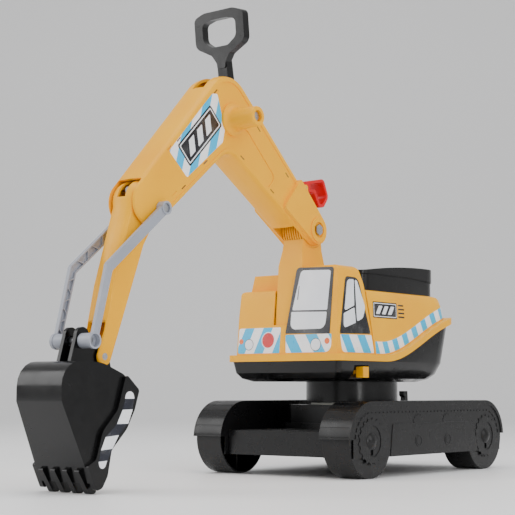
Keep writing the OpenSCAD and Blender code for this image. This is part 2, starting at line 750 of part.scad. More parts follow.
module handle_lever() color(black) place() {
  y = -355;
  difference() {
    union() {
      // Stem from the pivot to the grip
      across(-9.5, 9.5) polygon(outline([[-374, 560, 6], [-352, 552, 6], [-341, 610, 8], [-340, 630, 6],
                                         [-348, 672, 3], [-362, 672, 3], [-356, 630, 6], [-360, 600, 8]], 4));
      rod_x(grip_axis, 14, -11, 11);
      rod_x(crank_pin, 8, -11, 11);
      across(-11, 11) polygon([grip_axis + [-8, -6], grip_axis + [8, 6], crank_pin + [6, 5], crank_pin + [-6, -5]]);
      lean(y) translate([0, y + 7, 0]) rotate([90, 0, 0]) linear_extrude(14) polygon(outline(doubled(grip_frame), 5));
    }
    lean(y) translate([0, y + 10, 0]) rotate([90, 0, 0]) linear_extrude(20) polygon(outline(doubled(grip_hole), 5));
    rod_x(grip_axis, pin_r + run, -20, 20);
    rod_x(crank_pin, 3, -20, 20);
    // Fork for the rod
    across(-5, 5) intersection() {
      translate(crank_pin) circle(r = 16);
      translate(crank_pin - [40, 30]) square([50, 50]);
    }
  }
}

// The grip leans forward from the top of the stem
module lean(y) translate([0, y, 662]) rotate([6, 0, 0]) translate([0, -y, -662]) children();

module handle_pin() color(steel) place() rod_x(grip_axis, pin_r, -69.9, 69.9);

module push_rod() color(grey) place() {
  difference() {
    union() {
      rod_x(crank_pin, 7, -4, 4);
      rod_x(tail_eye, 7, -4, 4);
      across(-4, 4) strip(crank_pin, tail_eye, 8, 8);
    }
    rod_x(crank_pin, 3 + run, -10, 10);
    rod_x(tail_eye, 3 + run, -10, 10);
  }
}

module rod_pin() color(steel) place() rod_x(crank_pin, 3, -11, 11);

module tail_pin() color(steel) place() rod_x(tail_eye, 3, -stick_hw + 1, stick_hw - 1);

// ---------------------------------------------------------------- stick

stick_outline = concat(
  arc(stick_pivot, 34, -8, 192, 14),
  round_corner(stick_pivot + [-34, -8], [-591, 375], [-619, 286], 60, 3),
  [[-619, 286]],
  [[-633, 222]],
  arc(bucket_pivot, 16, 172, 340, 10),
  [[-552, 345]]);

stick_skin = [[0, 0], [10, 0.5], [15, 1.6], [stick_hw - 1, 3.2], [stick_hw, 5]];
stick_core = [[-1, shell], [stick_hw - shell, shell + 2]];

module stick_half() difference() {
  layered(stick_outline, stick_skin);
  layered(stick_outline, stick_core);
  // Mouths for the rod and for the bucket ears
  across(-1, 8) polygon([stick_pivot + [-50, 8], stick_pivot + [40, 2], stick_pivot + [40, 60], stick_pivot + [-50, 60]]);
  across(-1, stick_hw - shell) polygon([[-700, 150], [-600, 150], [-606, 196], [-628, 236], [-700, 250]]);
  rod_x(stick_pivot, pin_r + run, -1, 40);
  rod_x(bucket_pivot, pin_r + run, -1, 40);
  rod_x(tail_eye, 3, -1, stick_hw - 1);
}

module stick_left() color(yellow) place() stick_half();

module stick_right() color(yellow) place() mirror_x() stick_half();

module stick_pin() color(steel) place() rod_x(stick_pivot, pin_r, -boom_hw + 2, boom_hw - 2);

// ---------------------------------------------------------------- links

bar_in = 33;
bar_out = 39;
bend = [-642, 308];

// Width-w strip from a to b in [y, z]
module strip(a, b, wa, wb) {
  n = inward(unit(b - a));
  polygon([a + n * wa / 2, a - n * wa / 2, b - n * wb / 2, b + n * wb / 2]);
}

module bar_profile(d) {
  strip(link_pivot, bend, 15 - 2 * d, 14 - 2 * d);
  strip(bend, cross_pivot, 12.5 - 2 * d, 11 - 2 * d);
  translate(bend) circle(r = 6.6 - d);
}

module link_half() difference() {
  union() {
    across(bar_in, bar_out) bar_profile(0);
    rod_x(link_pivot, 10, boom_hw + 1, bar_out + 1.5);
    rod_x(cross_pivot, 10.5, 15, bar_out);
    rod_x(cross_pivot, 11.5, bar_out - 4, bar_out + 0.5);
  }
  difference() {
    across(bar_in - 1, bar_out - 2) bar_profile(2);
    rod_x(link_pivot, 10, 0, 60);
    rod_x(cross_pivot, 11, 0, 60);
    truss();
  }
  rod_x(link_pivot, pin_r + run, 0, 60);
  rod_x(link_pivot, 7, bar_out - 4, 60);
  rod_x(cross_pivot, pin_r, 0, 60);
  rod_x(cross_pivot, 9, bar_out - 8, 60);
}

// Zigzag ribs inside the open face of a link
module truss() {
  up = link_pivot - bend;
  low = cross_pivot - bend;
  for (k = [1:7]) rib(bend + up * k / 8, atan2(up[1], up[0]) + (k % 2 == 0 ? 55 : -55));
  for (k = [1:6]) rib(bend + low * k / 7, atan2(low[1], low[0]) + (k % 2 == 0 ? 55 : -55));
}

module rib(p, angle) across(bar_in - 1, bar_out) translate(p) rotate(angle) square([16, 1.4], center = true);

module link_left() color(grey) place() link_half();

module link_right() color(grey) place() mirror_x() link_half();

module link_bolts() color(steel) place() both_sides() {
  rod_x(link_pivot, pin_r - 1.5, boom_hw - 6, boom_hw + 1);
  rod_x(link_pivot, pin_r, boom_hw + 0.5, bar_out - 3.8);
  rod_x(link_pivot, 6.6, bar_out - 3.8, bar_out - 1);
}

module link_pin() color(steel) place() rod_x(cross_pivot, pin_r, -bar_out + 8, bar_out - 8);

// ---------------------------------------------------------------- bucket

bucket_outline = outline([
  [-662, 176, 60], [-735, 180, 34], [-734, 124, 5], [-695, 38, 3], [-679, 5, 4], [-668, 8, 8], [-658, 24, 10],
  [-651, 58, 12], [-622, 86, 30], [-607, 112, 20], [-598, 139, 5], [-624, 161, 16]], 5);

// Side walls of the bucket: wide at the lip, drawn in towards the heel, d inside the outer faces
module bucket_taper(d) translate([0, -598, 139]) rotate([61 - 90, 0, 0]) translate([0, 0, -250]) linear_extrude(500)
  polygon([[-bucket_hw - 4 + d, 60], [-bucket_hw + 8 + d, -160], [bucket_hw - 8 - d, -160], [bucket_hw + 4 - d, 60]]);

lip_band = concat(
  outline([[-695, 38, 3], [-679, 5, 4], [-668, 8, 8], [-658, 24, 10], [-651, 58, 12], [-622, 86, 30],
           [-607, 112, 20], [-598, 139, 5], [-624, 161, 4], [-640, 112, 26], [-668, 84, 26], [-680, 46, 8]], 5));

module bucket() color(black) place() {
  difference() {
    union() {
      intersection() {
        across(-70, 70) polygon(bucket_outline);
        bucket_taper(0);
      }
      both_sides() across(bucket_hw - 4, bucket_hw + 5) polygon(lip_band);
    }
    intersection() {
      across(-bucket_hw - 1, bucket_hw + 1) union() {
        polygon(inset(bucket_outline, 3));
        polygon([[-622, 158], [-686, 10], [-660, -10], [-560, 100], [-570, 150]]);
      }
      bucket_taper(3);
    }
  }
  for (x = [-35:23.4:36]) across(x - 4.5, x + 4.5)
    polygon(outline([[-692, 33, 2], [-699, 33, 2], [-677, 0, 5], [-660, 0, 5], [-668, 12, 1]], 4));
  both_sides() ear();
}

// Hinge ear between the cross pin and the bucket pin
module ear() difference() {
  across(8, 14) union() {
    translate(cross_pivot + [1, 7]) circle(r = 12);
    translate(bucket_pivot) circle(r = 13);
    polygon([cross_pivot + [-11, 7], [-692, 172], [-612, 166], bucket_pivot + [12, 4], bucket_pivot + [-8, 12],
             cross_pivot + [13, 7]]);
  }
  rod_x(bucket_pivot, pin_r + run, 0, 30);
  rod_x(cross_pivot, pin_r + ear_play, 0, 30);
}

module bucket_pin() color(steel) place() rod_x(bucket_pivot, pin_r, -stick_hw, stick_hw);

chassis_deck();
turret_block();
slide_ring();
slew_bolt();
slew_nut();
track_shell_left();
track_shell_right();
track_cover_left();
track_cover_right();
front_axle();
rear_axle();
axle_caps();
tow_peg();
roller_front_left();
roller_front_right();
roller_rear_left();
roller_rear_right();
lower_shell();
upper_shell();
cab_shell();
seat();
boom_post();
ratchet_drum();
slew_column();
shell_screws();
lock_tab();
boom_left();
boom_right();
boom_bolt();
boom_nut();
grip_screws();
release_lever();
release_pin();
handle_lever();
handle_pin();
push_rod();
rod_pin();
tail_pin();
stick_left();
stick_right();
stick_pin();
link_left();
link_right();
link_bolts();
link_pin();
bucket();
bucket_pin();
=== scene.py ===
import json
import math

import bmesh
import bpy
from mathutils import Matrix, Vector
from mathutils.geometry import delaunay_2d_cdt


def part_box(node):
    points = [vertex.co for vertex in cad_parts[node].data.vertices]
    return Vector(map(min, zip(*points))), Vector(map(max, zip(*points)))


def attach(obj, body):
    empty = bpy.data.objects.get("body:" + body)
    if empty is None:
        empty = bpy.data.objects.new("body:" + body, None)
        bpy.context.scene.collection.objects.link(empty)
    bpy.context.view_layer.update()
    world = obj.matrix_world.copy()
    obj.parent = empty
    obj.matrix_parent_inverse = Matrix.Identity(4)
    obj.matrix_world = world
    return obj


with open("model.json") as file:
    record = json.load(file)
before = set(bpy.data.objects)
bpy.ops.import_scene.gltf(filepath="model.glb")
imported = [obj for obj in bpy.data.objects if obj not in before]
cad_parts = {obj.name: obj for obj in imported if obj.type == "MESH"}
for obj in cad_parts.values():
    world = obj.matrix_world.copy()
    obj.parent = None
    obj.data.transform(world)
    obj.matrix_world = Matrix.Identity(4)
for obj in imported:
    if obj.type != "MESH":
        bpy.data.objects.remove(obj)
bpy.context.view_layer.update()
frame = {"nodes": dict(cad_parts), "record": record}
MM = 0.001

# Places are given in millimetres about the tracks' middle, which lies at this y
DECK_LO, DECK_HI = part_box("chassis_deck")
TRACK_Y = (DECK_LO.y + DECK_HI.y) / 2

# Faces of the CAD part that the stickers lie on
SILL_Z, WAIST_Z, SHOULDER_Z = 186, 262, 288
HOUSE_HALF_WIDTHS = {SILL_Z: 107, WAIST_Z: 106, SHOULDER_Z: 105}
HOUSE_REARS = {SILL_Z: 174, WAIST_Z: 172, SHOULDER_Z: 164}
REAR_CORNER = 60
LEDGE_START, LEDGE_RUN, LEDGE_RISE = -72, 240, 72
CAB_FOOT_Z, CAB_ROOF_Z = 197, 341
BOOM_FIELD_X, BOOM_RIM_HEIGHT = 25.8, 1.2
BUCKET_LIP_X = 55
SIDES = ((1, "left"), (-1, "right"))

# Heights of the films over those faces
PATCH_LIFT, BLOCK_LIFT, RING_LIFT, LENS_LIFT = 0.15, 0.25, 0.3, 0.4
FRAME_LIFT, PANE_LIFT, WIPER_LIFT = 0.3, 0.45, 0.6

# Direction of the camera: turned from +Y towards -X, and upwards, in degrees
VIEW_TURN, VIEW_RISE = 38.8, 5.57


def at(x, y, z):
    """Point in metres from millimetres about the tracks' middle."""
    return Vector((x * MM, TRACK_Y + y * MM, z * MM))


# ---------------------------------------------------------------- materials


class Nodes:
    """Short ways to build a shader tree."""

    def __init__(self, name):
        self.material = bpy.data.materials.new(name)
        self.material.use_nodes = True
        self.tree = self.material.node_tree
        self.shader = self.tree.nodes["Principled BSDF"]

    def add(self, kind, **values):
        node = self.tree.nodes.new(kind)
        for key, value in values.items():
            setattr(node, key, value)
        return node

    def link(self, out, into):
        self.tree.links.new(out, into)

    def put(self, node, **inputs):
        """Sets or links inputs, named as Base_Color or numbered as _0."""
        for key, value in inputs.items():
            numbered = key[0] == "_" and key[1:].isdigit()
            socket = node.inputs[int(key[1:]) if numbered else key.replace("_", " ")]
            if isinstance(value, bpy.types.NodeSocket):
                self.link(value, socket)
            else:
                socket.default_value = value
        return node

    def math(self, operation, a, b=0.0):
        node = self.add("ShaderNodeMath", operation=operation)
        return self.put(node, _0=a, _1=b).outputs[0]

    def position(self):
        return self.add("ShaderNodeTexCoord").outputs["Object"]

    def noise(self, scale, detail=3.0, vector=None, rough=0.55):
        node = self.add("ShaderNodeTexNoise")
        self.put(node, Vector=vector or self.position(), Scale=scale, Detail=detail, Roughness=rough)
        return node.outputs["Fac"]

    def span(self, value, lo, hi, to_lo, to_hi):
        node = self.add("ShaderNodeMapRange")
        self.put(node, Value=value, _1=lo, _2=hi, _3=to_lo, _4=to_hi)
        return node.outputs[0]

    def mix(self, fac, a, b):
        node = self.add("ShaderNodeMix", data_type="RGBA")
        for socket, value in ((node.inputs[0], fac), (node.inputs[6], a), (node.inputs[7], b)):
            if isinstance(value, bpy.types.NodeSocket):
                self.link(value, socket)
            else:
                socket.default_value = value
        return node.outputs[2]


def colour(r, g, b):
    """Linear colour with alpha from 0-255 display values."""
    def linear(v):
        v /= 255
        return v / 12.92 if v <= 0.04045 else ((v + 0.055) / 1.055) ** 2.4
    return (linear(r), linear(g), linear(b), 1)


def bump(n, height, strength, distance):
    """Bump of a height output on the shader's normal."""
    node = n.add("ShaderNodeBump")
    n.put(node, Height=height, Strength=strength, Distance=distance)
    n.link(node.outputs[0], n.shader.inputs["Normal"])


def plastic(name, base, shade, rough, grain, shine=0.35):
    """Moulded plastic: slow colour drift, fine moulding grain, handling scuffs in the gloss."""
    n = Nodes(name)
    drift = n.noise(9.0, 2.0)
    fine = n.noise(1400.0, 2.0)
    n.link(n.mix(n.span(drift, 0.3, 0.7, 0.0, 1.0), base, shade), n.shader.inputs["Base Color"])
    stretch = n.add("ShaderNodeMapping")
    n.put(stretch, Vector=n.position(), Rotation=(0.4, 0.7, 0.3), Scale=(60.0, 900.0, 60.0))
    scratch = n.noise(1.0, 4.0, stretch.outputs[0], 0.7)
    scuffs = n.span(scratch, 0.62, 0.72, 0.0, 0.3)
    handled = n.span(n.noise(22.0), 0.5, 0.7, 0.0, 1.0)
    worn = n.math("MULTIPLY", scuffs, handled)
    gloss = n.span(n.noise(45.0, 4.0), 0.3, 0.7, *rough)
    n.link(n.math("ADD", gloss, worn), n.shader.inputs["Roughness"])
    n.put(n.shader, IOR=1.49, Specular_IOR_Level=shine)
    bump(n, n.math("ADD", fine, n.math("MULTIPLY", scratch, 0.3)), grain, 0.0004)
    return n.material


def metal(name, base, blotched):
    """Zinc-plated steel with turning marks and small blotches."""
    n = Nodes(name)
    stretch = n.add("ShaderNodeMapping")
    n.put(stretch, Vector=n.position(), Scale=(90.0, 1400.0, 1400.0))
    marks = n.noise(1.0, 3.0, stretch.outputs[0])
    blotch = n.noise(160.0, 3.0)
    n.link(n.mix(n.span(blotch, 0.35, 0.7, 0.0, 0.6), base, blotched), n.shader.inputs["Base Color"])
    n.link(n.span(marks, 0.3, 0.7, 0.22, 0.4), n.shader.inputs["Roughness"])
    n.put(n.shader, Metallic=1.0)
    bump(n, marks, 0.12, 0.0003)
    return n.material


YELLOW = plastic("yellow_plastic", colour(255, 184, 0), colour(250, 174, 0), (0.3, 0.42), 0.02, shine=0.22)
BLACK = plastic("black_plastic", colour(13, 13, 14), colour(9, 9, 10), (0.16, 0.28), 0.015)
TRACK = plastic("track_plastic", colour(17, 17, 18), colour(12, 12, 13), (0.22, 0.36), 0.02)
SILVER = plastic("silver_plastic", colour(166, 170, 180), colour(148, 152, 163), (0.26, 0.4), 0.03)
RED = plastic("red_plastic", colour(225, 8, 24), colour(200, 5, 18), (0.22, 0.35), 0.02)
SLIDE = plastic("slide_plastic", colour(220, 220, 212), colour(205, 205, 196), (0.4, 0.55), 0.05)
STEEL = metal("steel", colour(196, 198, 202), colour(150, 152, 155))
BY_SLOT = {"yellow_plastic": YELLOW, "black_plastic": BLACK, "track_plastic": TRACK, "silver_plastic": SILVER,
           "red_plastic": RED, "slide_plastic": SLIDE, "steel": STEEL}


# ---------------------------------------------------------------- CAD nodes


# Degrees between faces: below the first they shade as one, above the second the edge is rounded
SMOOTH_BELOW, ROUND_ABOVE = 28, 38


def soft_edges():
    """Modifier group that joins a mesh's faces and shades it smooth between its sharp edges."""
    group = bpy.data.node_groups.new("soft_edges", "GeometryNodeTree")
    group.interface.new_socket("Geometry", in_out="INPUT", socket_type="NodeSocketGeometry")
    group.interface.new_socket("Geometry", in_out="OUTPUT", socket_type="NodeSocketGeometry")
    first = group.nodes.new("NodeGroupInput")
    last = group.nodes.new("NodeGroupOutput")
    merge = group.nodes.new("GeometryNodeMergeByDistance")
    merge.inputs["Distance"].default_value = 0.00002
    angle = group.nodes.new("GeometryNodeInputMeshEdgeAngle")
    limit = group.nodes.new("ShaderNodeMath")
    limit.operation = "LESS_THAN"
    limit.inputs[1].default_value = math.radians(SMOOTH_BELOW)
    faces = group.nodes.new("GeometryNodeSetShadeSmooth")
    faces.domain = "FACE"
    edges = group.nodes.new("GeometryNodeSetShadeSmooth")
    edges.domain = "EDGE"
    join = group.links.new
    join(first.outputs[0], merge.inputs[0])
    join(merge.outputs[0], faces.inputs[0])
    join(faces.outputs[0], edges.inputs[0])
    join(angle.outputs["Unsigned Angle"], limit.inputs[0])
    join(limit.outputs[0], edges.inputs["Shade Smooth"])
    join(edges.outputs[0], last.inputs[0])
    return group


SOFT = soft_edges()
# Width of the rounded edges in millimetres, where it isn't 0.4
ROUNDING = {"bucket": 1.6, "seat": 5.0, "handle_lever": 3.0, "cab_shell": 3.0, "upper_shell": 1.5,
            "lower_shell": 2.0, "chassis_deck": 2.0, "track_shell_left": 2.0, "track_shell_right": 2.0,
            "turret_block": 2.0, "boom_post": 2.0, "release_lever": 1.2, "link_left": 0.5, "link_right": 0.5,
            "track_cover_left": 0.55, "track_cover_right": 0.55, "boom_left": 0.8, "boom_right": 0.8}


def dress(node, material):
    """Gives a CAD node its material, soft edges and smooth shading."""
    obj = frame["nodes"][node]
    obj.data.materials.clear()
    obj.data.materials.append(material)
    smooth = obj.modifiers.new("smooth", "NODES")
    smooth.node_group = SOFT
    width = ROUNDING.get(node, 0.4)
    edge = obj.modifiers.new("edge", "BEVEL")
    edge.width = width * MM
    edge.segments = 3 if width > 1 else 2
    edge.limit_method = "ANGLE"
    edge.angle_limit = math.radians(ROUND_ABOVE)
    edge.use_clamp_overlap = True


for part in frame["record"]["subparts"]:
    dress(part["node"], BY_SLOT[part["material_slot"]])


# ---------------------------------------------------------------- printed stickers and painted slot shade


def vinyl(name, paint, rough=0.25, relief=0.02):
    """Printed vinyl film, also used for the painted shade in the boom's slots; paint(n) gives its colour
    output.
    """
    n = Nodes(name)
    speck = n.noise(900.0, 2.0)
    faded = n.mix(n.span(n.noise(30.0, 3.0), 0.45, 0.8, 0.0, 0.12), paint(n), colour(210, 210, 208))
    n.link(faded, n.shader.inputs["Base Color"])
    n.link(n.span(n.noise(60.0, 3.0), 0.3, 0.7, rough, rough + 0.12), n.shader.inputs["Roughness"])
    bump(n, speck, relief, 0.0003)
    return n.material


def drifting(a, b, scale=14.0):
    """Paint that drifts slowly between two colours."""
    return lambda n: n.mix(n.span(n.noise(scale, 2.0), 0.35, 0.65, 0.0, 1.0), a, b)


def stripes(first, second, pitch, skew):
    """Slanting stripes over the film's own (u, v), in centimetres."""
    def paint(n):
        uv = n.add("ShaderNodeSeparateXYZ")
        n.link(n.add("ShaderNodeTexCoord").outputs["UV"], uv.inputs[0])
        along = n.math("ADD", uv.outputs[0], n.math("MULTIPLY", uv.outputs[1], skew))
        wave = n.math("FRACT", n.math("DIVIDE", along, pitch))
        return n.mix(n.math("GREATER_THAN", wave, 0.5), first, second)
    return paint


CYAN, WHITE = colour(0, 184, 236), colour(252, 253, 255)
INK = vinyl("ink_film", drifting(colour(14, 14, 20), colour(20, 19, 28)), 0.18)
NAVY = vinyl("navy_film", drifting(colour(10, 15, 30), colour(15, 20, 37)), 0.2)
PALE = vinyl("pale_film", drifting(colour(250, 251, 253), colour(238, 241, 246)), 0.2)
PANE = vinyl("pane_film", drifting(colour(244, 247, 252), colour(222, 228, 238), 9.0), 0.12)
AMBER = vinyl("amber_film", drifting(colour(250, 110, 10), colour(238, 96, 8)), 0.2, 0.15)
SIGNAL = vinyl("signal_film", drifting(colour(222, 10, 22), colour(204, 6, 18)), 0.2, 0.2)


def rounded(corners, steps=6):
    """Outline through corners (a, b, radius)."""
    out = []
    count = len(corners)
    for i, (a, b, r) in enumerate(corners):
        here = Vector((a, b))
        back = (Vector(corners[i - 1][:2]) - here).normalized()
        on = (Vector(corners[(i + 1) % count][:2]) - here).normalized()
        if r <= 0:
            out.append(here)
            continue
        half = back.angle(on) / 2
        centre = here + (back + on).normalized() * r / math.sin(half)
        start = here + back * r / math.tan(half) - centre
        end = here + on * r / math.tan(half) - centre
        sweep_angle = start.angle_signed(end)
        for k in range(steps + 1):
            out.append(centre + Matrix.Rotation(-sweep_angle * k / steps, 2) @ start)
    return out


def disc(a, b, r, count=32):
    """Round outline."""
    angles = [2 * math.pi * k / count for k in range(count)]
    return [Vector((a + r * math.cos(t), b + r * math.sin(t))) for t in angles]


def inside(p, outline):
    """Whether p lies in a closed outline."""
    hit = False
    for a, b in zip(outline, outline[1:] + outline[:1]):
        if (a.y > p.y) != (b.y > p.y) and p.x < (b.x - a.x) * (p.y - a.y) / (b.y - a.y) + a.x:
            hit = not hit
    return hit


def grid_inside(outline, pitch=7.0):
    """Points of a square grid that lie in an outline."""
    lo_a, hi_a = min(p.x for p in outline), max(p.x for p in outline)
    lo_b, hi_b = min(p.y for p in outline), max(p.y for p in outline)
    points = []
    for i in range(int((hi_a - lo_a) / pitch) + 1):
        for j in range(int((hi_b - lo_b) / pitch) + 1):
            p = Vector((lo_a + (i + 0.5) * pitch, lo_b + (j + 0.5) * pitch))
            if inside(p, outline):
                points.append(p)
    return points


def centimetres(a, b):
    """Plain texture coordinates of a film."""
    return a / 10, b / 10


def film(name, outline, face, lift, material, body, uv=centimetres):
    """Thin piece over a CAD face; face(a, b) gives the point and the outward direction there."""
    inner = grid_inside(outline)
    rim = [(i, (i + 1) % len(outline)) for i in range(len(outline))]
    points, edges, faces = delaunay_2d_cdt(outline + inner, rim, [], 1, 1e-5)[:3]
    mesh = bpy.data.meshes.new(name)
    bm = bmesh.new()
    layer = bm.loops.layers.uv.new("film")
    top = []
    for p in points:
        place, out = face(p.x, p.y)
        top.append(bm.verts.new(at(*(place + out * lift))))
    for tri in faces:
        new = bm.faces.new([top[i] for i in tri])
        for loop, i in zip(new.loops, tri):
            loop[layer].uv = uv(*points[i])
    bm.normal_update()
    out = face(*points[0])[1]
    if bm.faces[:][0].normal.dot(out) < 0:
        bmesh.ops.reverse_faces(bm, faces=bm.faces[:])
    # Edges of the film, down to just inside the face
    sunk = 0.05
    skirt = bmesh.ops.extrude_edge_only(bm, edges=[e for e in bm.edges if e.is_boundary])
    down = [v for v in skirt["geom"] if isinstance(v, bmesh.types.BMVert)]
    for v in down:
        v.co -= out * (lift + sunk) * MM
    bm.to_mesh(mesh)
    bm.free()
    mesh.materials.append(material)
    obj = bpy.data.objects.new(name, mesh)
    bpy.context.collection.objects.link(obj)
    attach(obj, body)


def blend_at(z, low_z, high_z, low, high):
    """Value at z on the line from low at low_z to high at high_z."""
    return low + (high - low) * (z - low_z) / (high_z - low_z)


def house_side(side):
    """Yellow side wall: a runs backwards and follows the curve past the rear corner."""
    def face(a, z):
        low, high = (SILL_Z, WAIST_Z) if z < WAIST_Z else (WAIST_Z, SHOULDER_Z)
        half = blend_at(z, low, high, HOUSE_HALF_WIDTHS[low], HOUSE_HALF_WIDTHS[high])
        rear = blend_at(z, low, high, HOUSE_REARS[low], HOUSE_REARS[high])
        start = rear - REAR_CORNER
        if a < start:
            return Vector((side * half, a, z)), Vector((side, 0, 0))
        angle = (a - start) / REAR_CORNER
        out = Vector((side * math.cos(angle), math.sin(angle), 0))
        return Vector((side * (half - REAR_CORNER), start, z)) + out * REAR_CORNER, out
    return face


def house_front(a, z):
    """Raked front wall of the house."""
    place = Vector((a, blend_at(z, SILL_Z, WAIST_Z, -198, -192), z))
    return place, Vector((0, -1, 0.08)).normalized()


def cab_front(a, z):
    """Raked front of the cab."""
    place = Vector((a, blend_at(z, CAB_FOOT_Z, CAB_ROOF_Z, -199, -191), z))
    return place, Vector((0, -1, 0.055)).normalized()


def cab_side(a, z):
    """Outer side of the cab."""
    place = Vector((blend_at(z, CAB_FOOT_Z, CAB_ROOF_Z, 106, 103), a, z))
    return place, Vector((1, 0, 0.02)).normalized()


def flat_side(side, x):
    """Upright face at x on either side."""
    return lambda a, z: (Vector((side * x, a, z)), Vector((side, 0, 0)))


def turned(corners, centre, degrees):
    """Corners (a, b, radius) turned about a centre and moved to it."""
    c, s = math.cos(math.radians(degrees)), math.sin(math.radians(degrees))
    return [(centre[0] + a * c - b * s, centre[1] + a * s + b * c, r) for a, b, r in corners]


def sill(y):
    """Top of the yellow ledge: level in front, then an S-curve up to the back."""
    t = min(max((y - LEDGE_START) / LEDGE_RUN, 0), 1)
    return CAB_FOOT_Z + LEDGE_RISE * t * t * (3 - 2 * t)


def plate(name, face, centre, size, degrees, body):
    """Dark name plate with a pale border and three slanting bars in place of any lettering."""
    w, h = size

    def layer(suffix, margin, radius, lift, material):
        """Plate with its margin and corner radius as parts of the height."""
        x, y = w / 2 - h * margin, h / 2 - h * margin
        corners = [(-x, -y, h * radius), (x, -y, h * radius), (x, y, h * radius), (-x, y, h * radius)]
        film(name + suffix, rounded(turned(corners, centre, degrees)), face, lift, material, body)

    base, step = 0.3, 0.08
    layer("_base", 0, 0.08, base, INK)
    layer("_rim", 0.07, 0.06, base + step, PALE)
    layer("_field", 0.12, 0.05, base + 2 * step, INK)
    slant, half = h * 0.12, h * 0.26
    for k in range(3):
        x = (k - 1) * w * 0.25
        bar = [(x - w * 0.1 - slant, -half, 1), (x + w * 0.05 - slant, -half, 1),
               (x + w * 0.1 + slant, half, 1), (x - w * 0.05 + slant, half, 1)]
        film(f"{name}_bar_{k}", rounded(turned(bar, centre, degrees), 3), face, base + 3 * step, PALE, body)


def boom_stickers():
    """Striped patch with a name plate on each side of the boom."""
    hazard = vinyl("boom_hazard", stripes(CYAN, WHITE, 3.3, -0.28))
    patch = rounded([(-469, 455, 3), (-387, 520, 6), (-382, 540, 6), (-400, 594, 4), (-412, 592, 4),
                     (-509, 494, 4), (-507, 488, 4)])
    for side, tag in SIDES:
        face = flat_side(side, BOOM_FIELD_X)
        film(f"boom_patch_{tag}", patch, face, PATCH_LIFT, hazard, "boom")
        plate(f"boom_plate_{tag}", face, (-440, 523), (104, 40), 45, "boom")


def paint_slot_shade():
    """Dark brown-orange strips of painted shade in the boom's shallow slots, along its walls; the last two
    lie on the raised rim.
    """
    # Painted shade: this dark brown-orange stands in for the shadow inside the slots; it is not a colour of
    # the slots themselves.
    shade = vinyl("slot_painted_shade", drifting(colour(92, 40, 4), colour(70, 28, 2)), 0.5)
    field, patch = 0.12, 0.3
    rim = field + BOOM_RIM_HEIGHT
    spots = ((-404, 597, 44, field), (-488, 510, 46, patch), (-476.5, 439.6, 40, field),
             (-427, 483.6, 40, field), (-298, 554, -42, field), (-224, 489, -42, field),
             (-340.5, 502, -31, rim), (-265, 457.5, -31, rim))
    strip = ((-5.2, -0.9, 0.5), (5.2, -0.9, 0.5), (5.2, 0.9, 0.5), (-5.2, 0.9, 0.5))
    for side, tag in SIDES:
        face = flat_side(side, BOOM_FIELD_X)
        for k, (y, z, angle, lift) in enumerate(spots):
            film(f"slot_{tag}_{k}", rounded(turned(strip, (y, z), angle), 3), face, lift, shade, "boom")


def band_coordinates(a, b):
    """Texture coordinates that follow the ledge."""
    return a / 8.6, (b - sill(a)) / 10


def side_stickers():
    """Striped band over the ledge, name plate and four dashes on each side of the house."""
    hazard = vinyl("sill_hazard", stripes(CYAN, WHITE, 3.5, 0.5))
    stations = [-88 + k * 4 for k in range(68)]
    edge = [Vector((y, sill(y) + 2.0)) for y in stations]
    top = [Vector((y - 2, sill(y) + 22.0)) for y in stations]
    for side, tag in SIDES:
        face = house_side(side)
        film(f"sill_band_{tag}", edge + top[::-1], face, PATCH_LIFT, hazard, "house", uv=band_coordinates)
        plate(f"side_plate_{tag}", face, (-59, 272), (72, 27), 0, "house")
        for k in range(4):
            low, end = 261 + k * 6.6, (-2 if k == 3 else 0)
            high = low + 2.6
            dash = [(-19, low, 1), (end, low, 1), (end, high, 1), (-19, high, 1)]
            film(f"side_dash_{tag}_{k}", rounded(dash, 3), face, PATCH_LIFT, INK, "house")


def front_stickers():
    """Striped patches, lights and reflector on the front of the house and round the cab."""
    body_paint = vinyl("front_hazard", stripes(CYAN, WHITE, 3.9, -0.45))
    cab_paint = vinyl("cab_hazard", stripes(CYAN, WHITE, 4.6, 0.62))
    body_patch = [(-100.5, 199.5, 4), (-12, 199.5, 2), (-11, 242, 2), (-99.5, 242, 4)]
    cab_patch = [(3, 199.5, 2), (94, 199.5, 12), (94.5, 229, 2), (1.5, 229, 2)]
    door_patch = [(-184, 199.5, 8), (-93, 199.5, 2), (-100, 229, 2), (-189, 228, 2)]
    film("front_patch", rounded(body_patch), house_front, PATCH_LIFT, body_paint, "house")
    film("cab_patch", rounded(cab_patch), cab_front, PATCH_LIFT, cab_paint, "house")
    film("cab_side_patch", rounded(door_patch), cab_side, PATCH_LIFT, cab_paint, "house")
    for name, face, a, z, r in (("body", house_front, -77, 214.5, 9.5), ("cab", cab_front, 63.5, 212, 10.5)):
        film(f"{name}_light_ring", disc(a, z, r), face, RING_LIFT, INK, "house")
        film(f"{name}_light", disc(a, z, r - 0.9), face, LENS_LIFT, PANE, "house")
    film("body_indicator", disc(-94, 220, 4.5), house_front, RING_LIFT, AMBER, "house")
    film("cab_indicator", disc(86, 217.5, 5), cab_front, RING_LIFT, AMBER, "house")
    film("reflector_rim", disc(-36.5, 221, 14), house_front, RING_LIFT, PALE, "house")
    film("reflector", disc(-36.5, 221, 12.5), house_front, LENS_LIFT, SIGNAL, "house")


